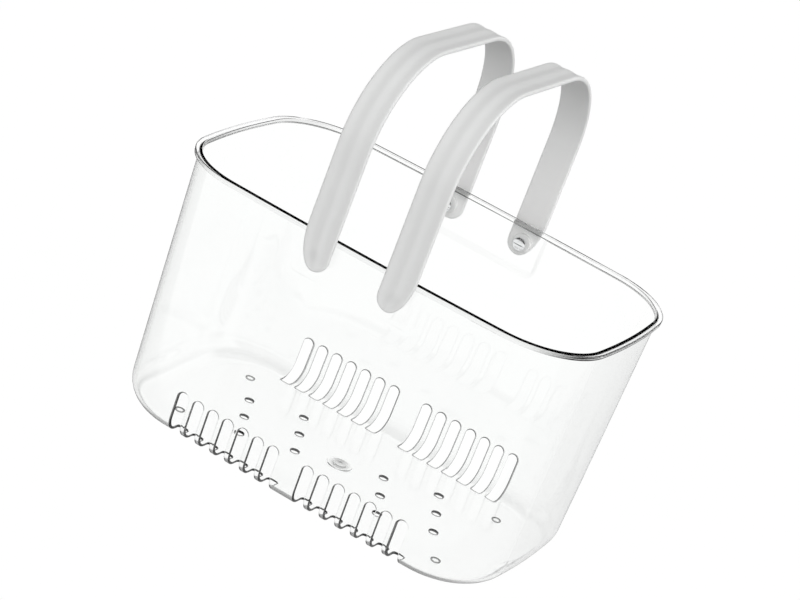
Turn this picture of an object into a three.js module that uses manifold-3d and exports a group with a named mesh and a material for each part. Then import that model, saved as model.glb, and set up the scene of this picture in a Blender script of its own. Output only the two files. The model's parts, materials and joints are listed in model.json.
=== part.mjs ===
// Shower basket: a clear moulded tub with drain slots, and two strap handles that swing on pivot screws.
// Millimetres, +Z up, origin on the surface the basket stands on, under the middle of the tub.

import * as THREE from 'three';
import { mergeVertices } from 'three/addons/utils/BufferGeometryUtils.js';
import Module from 'manifold-3d';

// Tub: sizes over the rim, and over the walls carried down to the floor
const RIM_LENGTH = 305;
const RIM_DEPTH = 188;
const TUB_HEIGHT = 179;
const BASE_LENGTH = 288;
const BASE_DEPTH = 170;
const WALL = 1.8;
const FLOOR = 1.8;
const CORNER_RADIUS = 49.5;
const LONG_SIDE_RADIUS = 2700;
const END_RADIUS = 510;
const SIDE_FILLET = 12;
const END_FILLET = 17.5;
const RIM_OVERHANG = 3;
const RIM_HEIGHT = 3.2;
const RIM_ROUND = 0.7;

// Feet under the floor and the moulding gate in its middle
const FOOT_HEIGHT = 1;
const FOOT_RADIUS = 3.5;
const FOOT_CHAMFER = 0.7;
const FOOT_X = 100.8;
const FOOT_Y = 46.9;
const GATE_RADIUS = 5;
const GATE_HEIGHT = 0.8;

// Drain slots: two groups on each long side, wrapped from the wall on to the floor
const SLOT_WIDTH = 7.8;
const SLOT_PITCH = 11.83;
const SLOT_FIRST_X = 13.3;
const SLOTS_PER_GROUP = 7;
const SLOT_TOP_Z = 33;
const SLOT_END_Y = 67;
const SLOT_END_ROUND = 2.4;

// Drain holes: two slanted blocks of two by three
const HOLE_RADIUS = 3;
const HOLE_BLOCK_X = 54.6;
const HOLE_ROW = new THREE.Vector2(34, 18.4);
const HOLE_COLUMN = new THREE.Vector2(10.9, -24.8);

// Flat pads on the long walls, which carry the pivots
const PAD_HALF_WIDTH = 45;
const PAD_BOTTOM_Z = 147.7;
const PAD_CORNER = 5.5;
const PAD_FACE_Y = 91.7;
const PAD_ROOT_Y = 89.35;

// Strap handles: the arch in side view, and the tongue at each lower end
const PIVOT_X = 29.3;
const PIVOT_Z = 165.5;
const STRAP_WIDTH = 22.2;
const STRAP_THICKNESS = 3;
const STRAP_EDGE_ROUND = 1.2;
const STRAP_TOP_Z = 301;
const STRAP_OUTER_Y = 97.3;
const SHOULDER_RADIUS = 62;
const TONGUE_TIP_Z = 155.3;
const TONGUE_INNER_RADIUS = 9.3;
const TONGUE_OUTER_RISE = 28.7;

// Pivots: a boss on the strap meets the pad, and a slotted screw holds it from inside the tub
const RUNNING_GAP = 0.3;
const BOSS_RADIUS = 6.5;
const SHANK_RADIUS = 2.1;
const SCREW_END_Y = 95.3;
const SCREW_SEAT_Y = 88.1;
const HEAD_RADIUS = 4.5;
const HEAD_HEIGHT = 1.8;
const HEAD_EDGE = 0.8;
const DRIVER_SLOT_WIDTH = 0.9;
const DRIVER_SLOT_DEPTH = 0.8;

// How far a cutter starts outside the face that it cuts
const CUT_MARGIN = 1;

// Fineness of the curved faces
const END_STEPS = 2;
const CORNER_STEPS = 8;
const SIDE_STEPS = 4;
const FILLET_STEPS = 5;
const SHOULDER_STEPS = 9;
const TONGUE_STEPS = 6;
const TAPER_STEPS = 4;
const HEAD_STEPS = 3;
const ROUND_STEPS = 16;
const SLOT_ROUND_STEPS = 4;

const wasm = await Module();
wasm.setup();

const CLEAR_PLASTIC = { color: 0xf4f7f6, roughness: 0.05, metalness: 0, transparent: true, opacity: 0.3 };
const WHITE_PLASTIC = { color: 0xe4e5e3, roughness: 0.45, metalness: 0 };
const BRIGHT_STEEL = { color: 0xd8dadb, roughness: 0.18, metalness: 1 };

function toSolid(geometry) {
  const bare = geometry.clone();
  bare.deleteAttribute('normal');
  bare.deleteAttribute('uv');
  const merged = mergeVertices(bare, 1e-4);
  const vertProperties = new Float32Array(merged.attributes.position.array);
  const triVerts = new Uint32Array(merged.index.array);
  return new wasm.Manifold(new wasm.Mesh({ numProp: 3, vertProperties, triVerts }));
}

function namedMesh(name, solid, finish) {
  const { vertProperties, triVerts } = solid.getMesh();
  const geometry = new THREE.BufferGeometry();
  geometry.setAttribute('position', new THREE.BufferAttribute(vertProperties, 3));
  geometry.setIndex(new THREE.BufferAttribute(triVerts, 1));
  geometry.computeVertexNormals();
  const mesh = new THREE.Mesh(geometry, new THREE.MeshStandardMaterial(finish));
  mesh.name = name;
  return mesh;
}

// Closed skin over a row of rings with equal point counts; a fan closes each end.
// The rings run anticlockwise seen from the side that the row heads for.
function loft(rings) {
  const count = rings[0].length;
  const points = rings.flat();
  const triangles = [];
  for (let ring = 0; ring + 1 < rings.length; ring++) {
    for (let step = 0; step < count; step++) {
      const here = ring * count + step;
      const next = ring * count + ((step + 1) % count);
      triangles.push(here, next, next + count, here, next + count, here + count);
    }
  }
  const lastStart = (rings.length - 1) * count;
  const firstCentre = points.push(middle(rings[0])) - 1;
  const lastCentre = points.push(middle(rings.at(-1))) - 1;
  for (let step = 0; step < count; step++) {
    const next = (step + 1) % count;
    triangles.push(firstCentre, next, step, lastCentre, lastStart + step, lastStart + next);
  }
  const geometry = new THREE.BufferGeometry().setFromPoints(points);
  geometry.setIndex(triangles);
  return geometry;
}

function middle(ring) {
  const sum = ring.reduce((total, point) => total.add(point), new THREE.Vector3());
  return sum.divideScalar(ring.length);
}

function arc(x, y, radius, start, end, steps) {
  return new THREE.EllipseCurve(x, y, radius, radius, start, end).getPoints(steps);
}

// Point at a given distance from each of two points, on the right of the way from the first to the second
function meetingPoint(first, firstReach, second, secondReach) {
  const way = second.clone().sub(first);
  const apart = way.length();
  const along = (firstReach ** 2 - secondReach ** 2 + apart ** 2) / (2 * apart);
  const across = Math.sqrt(firstReach ** 2 - along ** 2);
  way.normalize();
  const right = new THREE.Vector2(way.y, -way.x);
  return first.clone().addScaledVector(way, along).addScaledVector(right, across);
}

// Plan outline at one height: long sides and ends on wide arcs, corner arcs tangent to both.
// It starts in the middle of the right end.
function planRing(halfLength, halfDepth, cornerRadius, z) {
  const side = new THREE.Vector2(0, halfDepth - LONG_SIDE_RADIUS);
  const end = new THREE.Vector2(halfLength - END_RADIUS, 0);
  const corner = meetingPoint(side, LONG_SIDE_RADIUS - cornerRadius, end, END_RADIUS - cornerRadius);
  const endTurn = corner.clone().sub(end).angle();
  const sideTurn = corner.clone().sub(side).angle();
  const quarter = [
    ...arc(end.x, end.y, END_RADIUS, 0, endTurn, END_STEPS),
    ...arc(corner.x, corner.y, cornerRadius, endTurn, sideTurn, CORNER_STEPS).slice(1),
    ...arc(side.x, side.y, LONG_SIDE_RADIUS, sideTurn, Math.PI / 2, SIDE_STEPS).slice(1),
  ];
  const mirrored = quarter.map((point) => new THREE.Vector2(-point.x, point.y)).reverse();
  const backHalf = [...quarter.slice(0, -1), ...mirrored.slice(0, -1)];
  const frontHalf = backHalf.map((point) => point.clone().negate());
  return [...backHalf, ...frontHalf].map((point) => new THREE.Vector3(point.x, point.y, z));
}

// Ring of the drafted wall at height z, moved in from its outer face
function wallRing(z, inset) {
  const rise = (z - FOOT_HEIGHT) / (TUB_HEIGHT - FOOT_HEIGHT);
  const halfLength = THREE.MathUtils.lerp(BASE_LENGTH, RIM_LENGTH - 2 * RIM_OVERHANG, rise) / 2;
  const halfDepth = THREE.MathUtils.lerp(BASE_DEPTH, RIM_DEPTH - 2 * RIM_OVERHANG, rise) / 2;
  return planRing(halfLength - inset, halfDepth - inset, CORNER_RADIUS - inset, z);
}

// Ring at an angle on the round from the floor to the wall, on the outer face (inset 0) or the inner one.
// The round widens through the corners, from the long sides to the ends.
function filletRing(floorZ, inset, angle) {
  const [sideRing, endRing] = [SIDE_FILLET - inset, END_FILLET - inset].map((radius) =>
    wallRing(floorZ + radius * (1 - Math.cos(angle)), inset + radius * (1 - Math.sin(angle))));
  const cornerX = BASE_LENGTH / 2 - CORNER_RADIUS;
  const reach = sideRing[0].x - cornerX;
  return sideRing.map((point, step) => {
    const share = Math.max(0, Math.abs(point.x) - cornerX) / reach;
    return point.clone().lerp(endRing[step], share ** 2);
  });
}

function filletRings(floorZ, inset) {
  const rings = [];
  for (let step = 0; step <= FILLET_STEPS; step++) {
    rings.push(filletRing(floorZ, inset, (step / FILLET_STEPS) * (Math.PI / 2)));
  }
  return rings;
}

// Tub skin: up the outside, over the rim bead, down the inside
function tubShell() {
  const rimBottom = TUB_HEIGHT - RIM_HEIGHT;
  return toSolid(loft([
    ...filletRings(FOOT_HEIGHT, 0),
    wallRing(rimBottom, 0),
    wallRing(rimBottom, RIM_ROUND - RIM_OVERHANG),
    wallRing(rimBottom + RIM_ROUND, -RIM_OVERHANG),
    wallRing(TUB_HEIGHT - RIM_ROUND, -RIM_OVERHANG),
    wallRing(TUB_HEIGHT, RIM_ROUND - RIM_OVERHANG),
    wallRing(TUB_HEIGHT, WALL - RIM_ROUND),
    wallRing(TUB_HEIGHT - RIM_ROUND, WALL),
    ...filletRings(FOOT_HEIGHT + FLOOR, WALL).reverse(),
  ]));
}

// Plate of a shape drawn in X and Z, from y = start to y = end
function plateAlongY(shape, start, end, curveSegments) {
  const depth = end - start;
  const plate = new THREE.ExtrudeGeometry(shape, { depth, bevelEnabled: false, curveSegments });
  return toSolid(plate.rotateX(Math.PI / 2).translate(0, end, 0));
}

function rodAlongY(radius, x, z, start, end) {
  const rod = new THREE.CylinderGeometry(radius, radius, end - start, ROUND_STEPS);
  return toSolid(rod.translate(x, (start + end) / 2, z));
}

function rodAlongZ(radius, x, y, start, end) {
  const rod = new THREE.CylinderGeometry(radius, radius, end - start, ROUND_STEPS);
  return toSolid(rod.rotateX(Math.PI / 2).translate(x, y, (start + end) / 2));
}

// Flat pad under the rim of the back wall, with rounded lower corners
function pivotPad() {
  const inner = PAD_HALF_WIDTH - PAD_CORNER;
  const top = TUB_HEIGHT - RIM_HEIGHT / 2;
  const shape = new THREE.Shape();
  shape.moveTo(PAD_HALF_WIDTH, top);
  shape.lineTo(-PAD_HALF_WIDTH, top);
  shape.absarc(-inner, PAD_BOTTOM_Z + PAD_CORNER, PAD_CORNER, Math.PI, 1.5 * Math.PI);
  shape.absarc(inner, PAD_BOTTOM_Z + PAD_CORNER, PAD_CORNER, 1.5 * Math.PI, 2 * Math.PI);
  return plateAlongY(shape, PAD_ROOT_Y, PAD_FACE_Y, SLOT_ROUND_STEPS);
}

// Slot cutter on the back side: round-topped through the wall, round-cornered where it ends on the floor
function slotCutter() {
  const half = SLOT_WIDTH / 2;
  const below = -FOOT_HEIGHT;
  const outside = RIM_DEPTH / 2;
  const wallView = new THREE.Shape();
  wallView.moveTo(-half, below);
  wallView.lineTo(half, below);
  wallView.absarc(0, SLOT_TOP_Z - half, half, 0, Math.PI);
  const endX = half - SLOT_END_ROUND;
  const endY = SLOT_END_Y + SLOT_END_ROUND;
  const floorView = new THREE.Shape();
  floorView.moveTo(half, outside);
  floorView.lineTo(-half, outside);
  floorView.absarc(-endX, endY, SLOT_END_ROUND, Math.PI, 1.5 * Math.PI);
  floorView.absarc(endX, endY, SLOT_END_ROUND, 1.5 * Math.PI, 2 * Math.PI);
  const depth = SLOT_TOP_Z + FOOT_HEIGHT - below;
  const options = { depth, bevelEnabled: false, curveSegments: SLOT_ROUND_STEPS / 2 };
  const floorPlate = toSolid(new THREE.ExtrudeGeometry(floorView, options).translate(0, 0, below));
  return plateAlongY(wallView, SLOT_END_Y - CUT_MARGIN, outside, 2 * SLOT_ROUND_STEPS).intersect(floorPlate);
}

// Every slot of the tub: mirrored groups on the back, and the same turned half round on the front
function drainSlots() {
  const cutter = slotCutter();
  const slots = [];
  for (const turn of [0, 180]) {
    for (const group of [-1, 1]) {
      for (let slot = 0; slot < SLOTS_PER_GROUP; slot++) {
        const x = group * (SLOT_FIRST_X + slot * SLOT_PITCH);
        slots.push(cutter.translate([x, 0, 0]).rotate([0, 0, turn]));
      }
    }
  }
  return slots;
}

function drainHoles() {
  const holes = [];
  for (const block of [-HOLE_BLOCK_X, HOLE_BLOCK_X]) {
    for (const row of [-0.5, 0.5]) {
      for (const column of [-1, 0, 1]) {
        const x = block + row * HOLE_ROW.x + column * HOLE_COLUMN.x;
        const y = row * HOLE_ROW.y + column * HOLE_COLUMN.y;
        holes.push(rodAlongZ(HOLE_RADIUS, x, y, 0, FOOT_HEIGHT + 2 * FLOOR));
      }
    }
  }
  return holes;
}

// Round foot, a little smaller where it meets the surface under it
function foot(x, y) {
  const top = FOOT_HEIGHT + FLOOR / 2;
  const profile = [
    new THREE.Vector2(0, 0),
    new THREE.Vector2(FOOT_RADIUS - FOOT_CHAMFER, 0),
    new THREE.Vector2(FOOT_RADIUS, FOOT_CHAMFER),
    new THREE.Vector2(FOOT_RADIUS, top),
    new THREE.Vector2(0, top),
  ];
  return toSolid(new THREE.LatheGeometry(profile, ROUND_STEPS).rotateX(Math.PI / 2).translate(x, y, 0));
}

function basketTub() {
  const floorTop = FOOT_HEIGHT + FLOOR;
  let tub = tubShell();
  tub = tub.add(rodAlongZ(GATE_RADIUS, 0, 0, floorTop - FLOOR / 2, floorTop + GATE_HEIGHT));
  for (const side of [-1, 1]) {
    tub = tub.add(pivotPad().rotate([0, 0, side > 0 ? 0 : 180]));
    tub = tub.add(foot(FOOT_X, side * FOOT_Y)).add(foot(-FOOT_X, side * FOOT_Y));
  }
  for (const x of [-PIVOT_X, PIVOT_X]) {
    tub = tub.subtract(rodAlongY(SHANK_RADIUS + RUNNING_GAP, x, PIVOT_Z, -RIM_DEPTH / 2, RIM_DEPTH / 2));
  }
  for (const opening of [...drainSlots(), ...drainHoles()]) {
    tub = tub.subtract(opening);
  }
  return tub;
}

// Inner and outer edge of the right strap, as x, at height z on a leg.
// The inner edge rounds in to the tip on a quarter circle, the outer one on a tall quarter ellipse.
function strapEdges(z) {
  const inner = PIVOT_X - STRAP_WIDTH / 2;
  const outer = PIVOT_X + STRAP_WIDTH / 2;
  const tipX = inner + TONGUE_INNER_RADIUS;
  const innerDrop = Math.max(0, 1 - (z - TONGUE_TIP_Z) / TONGUE_INNER_RADIUS);
  const outerDrop = Math.max(0, 1 - (z - TONGUE_TIP_Z) / TONGUE_OUTER_RISE);
  return [
    tipX - TONGUE_INNER_RADIUS * Math.sqrt(1 - innerDrop ** 2),
    tipX + (outer - tipX) * Math.sqrt(1 - outerDrop ** 2),
  ];
}

// Strap section: a flat bar with rounded edges, between two edges in x and across the thickness.
// Near the tip, where the bar is narrow, the rounds shrink to leave a flat between them.
function strapSection([inner, outer]) {
  const round = Math.min(STRAP_EDGE_ROUND, (outer - inner) / 3);
  const depth = STRAP_THICKNESS / 2 - round;
  return [
    ...arc(outer - round, depth, round, 0, Math.PI / 2, 2),
    ...arc(inner + round, depth, round, Math.PI / 2, Math.PI, 2),
    ...arc(inner + round, -depth, round, Math.PI, 1.5 * Math.PI, 2),
    ...arc(outer - round, -depth, round, 1.5 * Math.PI, 2 * Math.PI, 2),
  ];
}

// Stations of the arch from the back tip to the crossbar: place in y and z, and lean of the strap's normal
function halfArch() {
  const centreY = STRAP_OUTER_Y - SHOULDER_RADIUS;
  const centreZ = STRAP_TOP_Z - SHOULDER_RADIUS;
  const radius = SHOULDER_RADIUS - STRAP_THICKNESS / 2;
  const stations = [];
  for (let step = 0.5; step < TONGUE_STEPS; step++) {
    const turn = (step / (TONGUE_STEPS - 0.5)) * (Math.PI / 2);
    const rise = TONGUE_INNER_RADIUS * (1 - Math.cos(turn));
    stations.push({ y: centreY + radius, z: TONGUE_TIP_Z + rise, lean: 0 });
  }
  for (let step = 1; step <= TAPER_STEPS; step++) {
    const rise = THREE.MathUtils.lerp(TONGUE_INNER_RADIUS, TONGUE_OUTER_RISE, step / TAPER_STEPS);
    stations.push({ y: centreY + radius, z: TONGUE_TIP_Z + rise, lean: 0 });
  }
  for (let step = 0; step <= SHOULDER_STEPS; step++) {
    const lean = (step / SHOULDER_STEPS) * (Math.PI / 2);
    stations.push({ y: centreY + radius * Math.cos(lean), z: centreZ + radius * Math.sin(lean), lean });
  }
  return stations;
}

// Right strap: its section carried up the back leg, over the crossbar and down the front leg
function strap() {
  const back = halfArch();
  const front = back.map(({ y, z, lean }) => ({ y: -y, z, lean: Math.PI - lean })).reverse();
  const rings = [...back, ...front].map(({ y, z, lean }) => strapSection(strapEdges(z)).map((point) =>
    new THREE.Vector3(point.x, y + point.y * Math.cos(lean), z + point.y * Math.sin(lean))));
  return toSolid(loft(rings));
}

// Boss on the strap's inner face with the blind hole for the screw, on the back (side 1) or the front
function withPivotBoss(solid, side) {
  const inside = PAD_FACE_Y + RUNNING_GAP;
  const outside = STRAP_OUTER_Y - STRAP_THICKNESS / 2;
  const holeEnd = SCREW_END_Y + RUNNING_GAP;
  const boss = rodAlongY(BOSS_RADIUS, PIVOT_X, PIVOT_Z, inside, outside);
  const hole = rodAlongY(SHANK_RADIUS + RUNNING_GAP, PIVOT_X, PIVOT_Z, inside - CUT_MARGIN, holeEnd);
  const flip = [1, side, 1];
  return solid.add(boss.scale(flip)).subtract(hole.scale(flip));
}

function rightHandle() {
  return withPivotBoss(withPivotBoss(strap(), 1), -1);
}

// Slotted screw at the back right pivot: low domed head inside the tub, plain shank to the strap
function pivotScrew() {
  const length = SCREW_END_Y - SCREW_SEAT_Y;
  const crown = HEAD_HEIGHT - HEAD_EDGE;
  const dome = new THREE.EllipseCurve(0, -HEAD_EDGE, HEAD_RADIUS, crown, -Math.PI / 2, 0);
  const profile = [
    ...dome.getPoints(HEAD_STEPS),
    new THREE.Vector2(HEAD_RADIUS, 0),
    new THREE.Vector2(SHANK_RADIUS, 0),
    new THREE.Vector2(SHANK_RADIUS, length),
    new THREE.Vector2(0, length),
  ];
  const body = toSolid(new THREE.LatheGeometry(profile, ROUND_STEPS));
  const groove = new THREE.BoxGeometry(3 * HEAD_RADIUS, 2 * DRIVER_SLOT_DEPTH, DRIVER_SLOT_WIDTH);
  const cut = toSolid(groove.translate(0, -HEAD_HEIGHT, 0));
  return body.subtract(cut).translate([PIVOT_X, SCREW_SEAT_Y, PIVOT_Z]);
}

const basket = new THREE.Group();
basket.add(namedMesh('basket_tub', basketTub(), CLEAR_PLASTIC));

const handle = rightHandle();
const screw = pivotScrew();
for (const [hand, x] of [['left', -1], ['right', 1]]) {
  basket.add(namedMesh(`handle_${hand}`, handle.scale([x, 1, 1]), WHITE_PLASTIC));
  for (const [end, y] of [['front', -1], ['back', 1]]) {
    basket.add(namedMesh(`pivot_screw_${hand}_${end}`, screw.scale([x, y, 1]), BRIGHT_STEEL));
  }
}

export default basket;
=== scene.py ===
import json
import math

import bmesh
import bpy
import numpy as np
from mathutils import Matrix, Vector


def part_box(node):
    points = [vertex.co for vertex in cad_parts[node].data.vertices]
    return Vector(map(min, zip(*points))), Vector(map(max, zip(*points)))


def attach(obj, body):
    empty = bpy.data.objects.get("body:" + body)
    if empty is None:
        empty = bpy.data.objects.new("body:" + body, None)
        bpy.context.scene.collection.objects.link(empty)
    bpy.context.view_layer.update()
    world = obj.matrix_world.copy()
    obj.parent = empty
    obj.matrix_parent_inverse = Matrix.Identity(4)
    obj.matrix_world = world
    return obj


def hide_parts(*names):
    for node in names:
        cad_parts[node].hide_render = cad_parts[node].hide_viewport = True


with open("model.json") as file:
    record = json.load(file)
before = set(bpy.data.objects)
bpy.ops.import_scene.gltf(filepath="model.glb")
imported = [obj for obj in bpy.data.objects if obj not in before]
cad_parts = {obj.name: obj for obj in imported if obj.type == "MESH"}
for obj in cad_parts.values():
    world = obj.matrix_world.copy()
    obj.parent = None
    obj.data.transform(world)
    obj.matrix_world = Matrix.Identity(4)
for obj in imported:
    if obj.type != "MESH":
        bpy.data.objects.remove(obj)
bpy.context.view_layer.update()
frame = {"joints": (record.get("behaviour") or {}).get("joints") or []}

# A clear moulded shower basket with two white strap handles on slotted pivot screws.
# Metres, +Z up, +X along the tub's length, the camera in front of the long wall at -Y.
MM = 0.001

_, TUB_HIGH = (np.array(corner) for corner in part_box("basket_tub"))
STRAP_LOW, STRAP_HIGH = (np.array(corner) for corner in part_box("handle_right"))
SCREW_LOW, SCREW_HIGH = (np.array(corner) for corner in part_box("pivot_screw_right_back"))
PIVOT_X, _, PIVOT_Z = next(j["pos_m"] for j in frame["joints"] if j["name"] == "right_handle_swing")

# Tub: plan and section
RIM_Z = TUB_HIGH[2]
RIM_OVERHANG = 3.0 * MM
RIM_HEIGHT = 3.2 * MM
RIM_ROUND = 0.7 * MM
RIM_ROOT_ROUND = 0.6 * MM
TOP_HALF_LENGTH = TUB_HIGH[0] - RIM_OVERHANG
TOP_HALF_DEPTH = TUB_HIGH[1] - RIM_OVERHANG
BASE_HALF_LENGTH = 144.0 * MM
BASE_HALF_DEPTH = 85.0 * MM
WALL = 1.8 * MM
FLOOR = 1.8 * MM
CORNER_RADIUS = 49.5 * MM
CORNER_X = BASE_HALF_LENGTH - CORNER_RADIUS
CORNER_Y = BASE_HALF_DEPTH - CORNER_RADIUS
LONG_SIDE_RADIUS = 2700.0 * MM
END_RADIUS = 510.0 * MM
SIDE_FILLET = 12.0 * MM
END_FILLET = 17.5 * MM
FOOT_HEIGHT = 1.0 * MM
FOOT_RADIUS = 3.5 * MM
FOOT_ROUND = 0.9 * MM
FOOT_PLACE = (100.8 * MM, 46.9 * MM)
GATE_RADIUS = 4.8 * MM
GATE_HEIGHT = 0.8 * MM
GATE_RING_RADIUS = 9.0 * MM
GATE_RING_HEIGHT = 0.4 * MM
GATE_VALLEY_RADIUS = 5.52 * MM
GATE_DISH_RADIUS = 1.92 * MM
GATE_DISH_EDGE = 0.48 * MM
GATE_DISH_MIDDLE = 0.4 * MM
GATE_SINK = 0.05 * MM

# Drain slots: a band of cells round the lower edge of each long wall, one slot to a cell
SLOT_HALF_WIDTH = 3.9 * MM
SLOT_PITCH = 11.83 * MM
SLOT_FIRST_X = 13.3 * MM
SLOTS_PER_GROUP = 7
SLOT_TOP_Z = 33.0 * MM
SLOT_END_Y = 67.0 * MM
SLOT_EDGE_ROUND = 0.45 * MM
SLOT_DRAFT = 0.5 * MM
SLOT_LEAN = 0.13 * MM
OUTER_SLOT_LEAN = 0.52 * MM
SLOT_FLOOR_POWER = 4.0
BAND_FLOOR = 11.0 * MM
BAND_TOP_Z = 38.0 * MM

# Drain holes: two slanted blocks of two by three
HOLE_RADIUS = 3.0 * MM
HOLE_EDGE_ROUND = 0.5 * MM
HOLE_FLARE = 85.0  # degrees
HOLE_BLOCK_X = 54.6 * MM
HOLE_ROW = np.array([34.0, 18.4]) * MM
HOLE_COLUMN = np.array([10.9, -24.8]) * MM

# Pads on the long walls, which carry the pivots
PAD_HALF_WIDTH = 45.0 * MM
PAD_BOTTOM_Z = 147.7 * MM
PAD_CORNER = 5.5 * MM
PAD_FACE_Y = 91.7 * MM
PAD_STEP = 5.0 * MM
PAD_STEP_REACH = 0.75  # of the step, where the grid follows it to each side

# Strap handles: an arch in side view that ends in a lopsided tongue on each side
STRAP_THICKNESS = 3.0 * MM
STRAP_EDGE_ROUND = 1.2 * MM
STRAP_GROOVE = 0.43 * MM
SHOULDER_RADIUS = 62.0 * MM
TONGUE_INNER_RADIUS = 9.3 * MM
TONGUE_OUTER_RISE = 28.7 * MM
BOSS_RADIUS = 6.5 * MM
BOSS_ROUND = 0.5 * MM
RUNNING_GAP = 0.3 * MM
STRAP_MIDDLE_Y = STRAP_HIGH[1] - 0.5 * STRAP_THICKNESS

# Pivot screws
HEAD_RADIUS = 0.5 * (SCREW_HIGH[0] - SCREW_LOW[0])
HEAD_HEIGHT = 1.8 * MM
HEAD_EDGE = 0.7 * MM
HEAD_SIDE = 0.49 * MM
DOME_END = 350.0  # degrees
SHANK_RADIUS = 2.1 * MM
DRIVER_SLOT_WIDTH = 1.0 * MM
DRIVER_SLOT_DEPTH = 0.9 * MM

# Fineness of the grids
CORNER_STEPS = 24
END_STEPS = 4
CELL_STEPS = 8
MIDDLE_STEPS = 6
SLOT_SIDE_STEPS = 18
SLOT_END_STEPS = 5
FLOOR_SPREADS = (0.0, 0.35, 0.7)
FLOOR_STEPS = 3
LEAST_CORNER = 2.0 * MM
WALL_STEPS = 5
PAD_STEPS = 6
TOP_STEPS = 4
INSIDE_STEPS = 9
TIP_STEPS = 14
TONGUE_STEPS = 8
LEG_STEPS = 7
SHOULDER_STEPS = 24
CROSSBAR_STEPS = 4
FACE_STEPS = 20
GATE_STEPS = 8
DOME_STEPS = 10
ROUND_STEPS = 4
TURN_STEPS = 48
SAME_POINT = 0.002 * MM
NO_AREA = 0.0002 * MM
CUT_MARGIN = 1.0 * MM
SHARP_ANGLE = math.radians(35.0)

# Plain colours
WHITE = (1.0, 1.0, 1.0)
BLACK = (0.0, 0.0, 0.0)

# Clear plastic: colours, gloss, and the ranges over which its painted shade and its duller places fade
PLASTIC_IOR = 1.49
PLASTIC_TINTS = ((0.975, 0.982, 0.978), (0.99, 0.994, 0.99))
PLASTIC_CLOUDS = 30.0
FLOW_WAVES = 55.0
FLOW_STRENGTH = 0.1
FLOW_DEPTH = 0.2 * MM
POLISH = 0.004
CLOUD_DULLING = 0.01
CUT_DULLING = 0.2
FLOOR_DULLING = 0.1
FRONT_TO_BACK = (-50.0 * MM, 50.0 * MM)
FAR_LINE_X = (-80.0 * MM, 80.0 * MM)
FAR_LINE_Y = (-55.0 * MM, 20.0 * MM)
# Painted shade on the slots' cut edges: shares of black in the colour
SLOT_PAINTED_SHADE = (0.97, 0.6)  # on the front wall, on the back wall
SLOT_SHADE_START = SLOT_HALF_WIDTH + 0.5 * SLOT_DRAFT + 0.05 * MM
SLOT_SHADE_END = SLOT_SHADE_START + 0.2 * MM
# Painted shade in the drain holes
HOLE_SHADE_REACH = (3.3 * MM, 3.6 * MM)
HOLE_SHADE_TOP = (3.0 * MM, 3.5 * MM)
# Painted shade round the thick lower edge, less on the far side
EDGE_PAINTED_SHADE = 0.8
EDGE_FAR_SHARE = 0.1
EDGE_REACH = (39.0 * MM, 42.0 * MM)
EDGE_TOP = (4.0 * MM, 8.5 * MM)
FLOOR_REACH = (34.0 * MM, 38.0 * MM)
FLOOR_TOP = (3.5 * MM, 5.0 * MM)
# Painted shade on the feet
FOOT_MIDDLE_SHADE = 0.1
FOOT_RING_START = (1.4 * MM, 2.625 * MM)
FOOT_RING_END = (3.5 * MM, 3.85 * MM)
FOOT_SHADE_TOP = (0.9 * MM, 1.0 * MM)
# Painted shade at the gate mark
GATE_PAINTED_SHADE = 0.3

# The same for the rim. Starts and ends are shares of the bead's height, from its top down
# Painted shade on the lower half of the rim bead
BEAD_SHADE_START = (0.52, 0.66)
BEAD_SHADE_END = (0.93, 0.98)
BEAD_FRONT_SHADE = 0.15
BEAD_END_X = (110.0 * MM, 140.0 * MM)
BEAD_FAR = (0.0, 80.0 * MM)
BEAD_FAR_SHARE = 0.3
RIM_SHADE = 0.62
RIM_SHADE_END = (1.0, 1.2)
RIM_LEADING = 0.95
RIM_LEADING_Z = (RIM_Z - 0.5 * MM, RIM_Z - 0.1 * MM)
RIM_POLISH = 0.01

# White plastic
WHITE_IOR = 1.46
WHITE_TINTS = ((0.79, 0.795, 0.79), (0.82, 0.825, 0.82))
# Painted light: a whiter colour on the inner faces of the legs
INSIDE_PAINTED_LIGHT = (0.91, 0.91, 0.905)
INNER_FACE_Y = (STRAP_MIDDLE_Y - 0.5 * MM, STRAP_MIDDLE_Y + 0.5 * MM)
INSIDE_LIGHT_Z = (200.0 * MM, 260.0 * MM)
# Painted shade: a faint darker spot outside over each pivot, as of a sink mark
PIVOT_PAINTED_SHADE = 0.06
PIVOT_SHADE_REACH = (1.0 * MM, BOSS_RADIUS)
WHITE_CLOUDS = 40.0
WHITE_GRAIN = 2600.0
GRAIN_STRENGTH = 0.12
GRAIN_DEPTH = 0.05 * MM
SATIN = 0.42
GRAIN_DULLING = 0.1

# Bright steel
STEEL_TINTS = ((0.80, 0.81, 0.82), (0.88, 0.885, 0.89))
STEEL_CLOUDS = 900.0
STEEL_POLISH = 0.12
STEEL_CLOUD_DULLING = 0.08
TURNING_PITCH = 0.35 * MM
TURNING_STRENGTH = 0.15
TURNING_DEPTH = 0.01 * MM
TURNING_DULLING = 0.04

# Studio floor
FLOOR_HALF_SIZE = 30.0
FLOOR_PAPER = (0.58, 0.58, 0.58)
FLOOR_WHITE = 1.04
FLOOR_SHOWN = 0.94
THROUGH_WHITE = 1.02
# Painted shade: the floor's level as mirrored, grey under and behind the tub, darker on the left
MIRRORED_FLOOR_SHADE = (0.25, 0.6)  # on the left, on the right
MIRRORED_FLOOR_X = (-250.0 * MM, 50.0 * MM)
MIRRORED_FRONT = 0.95
MIRRORED_FRONT_Y = (-130.0 * MM, -100.0 * MM)

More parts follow.
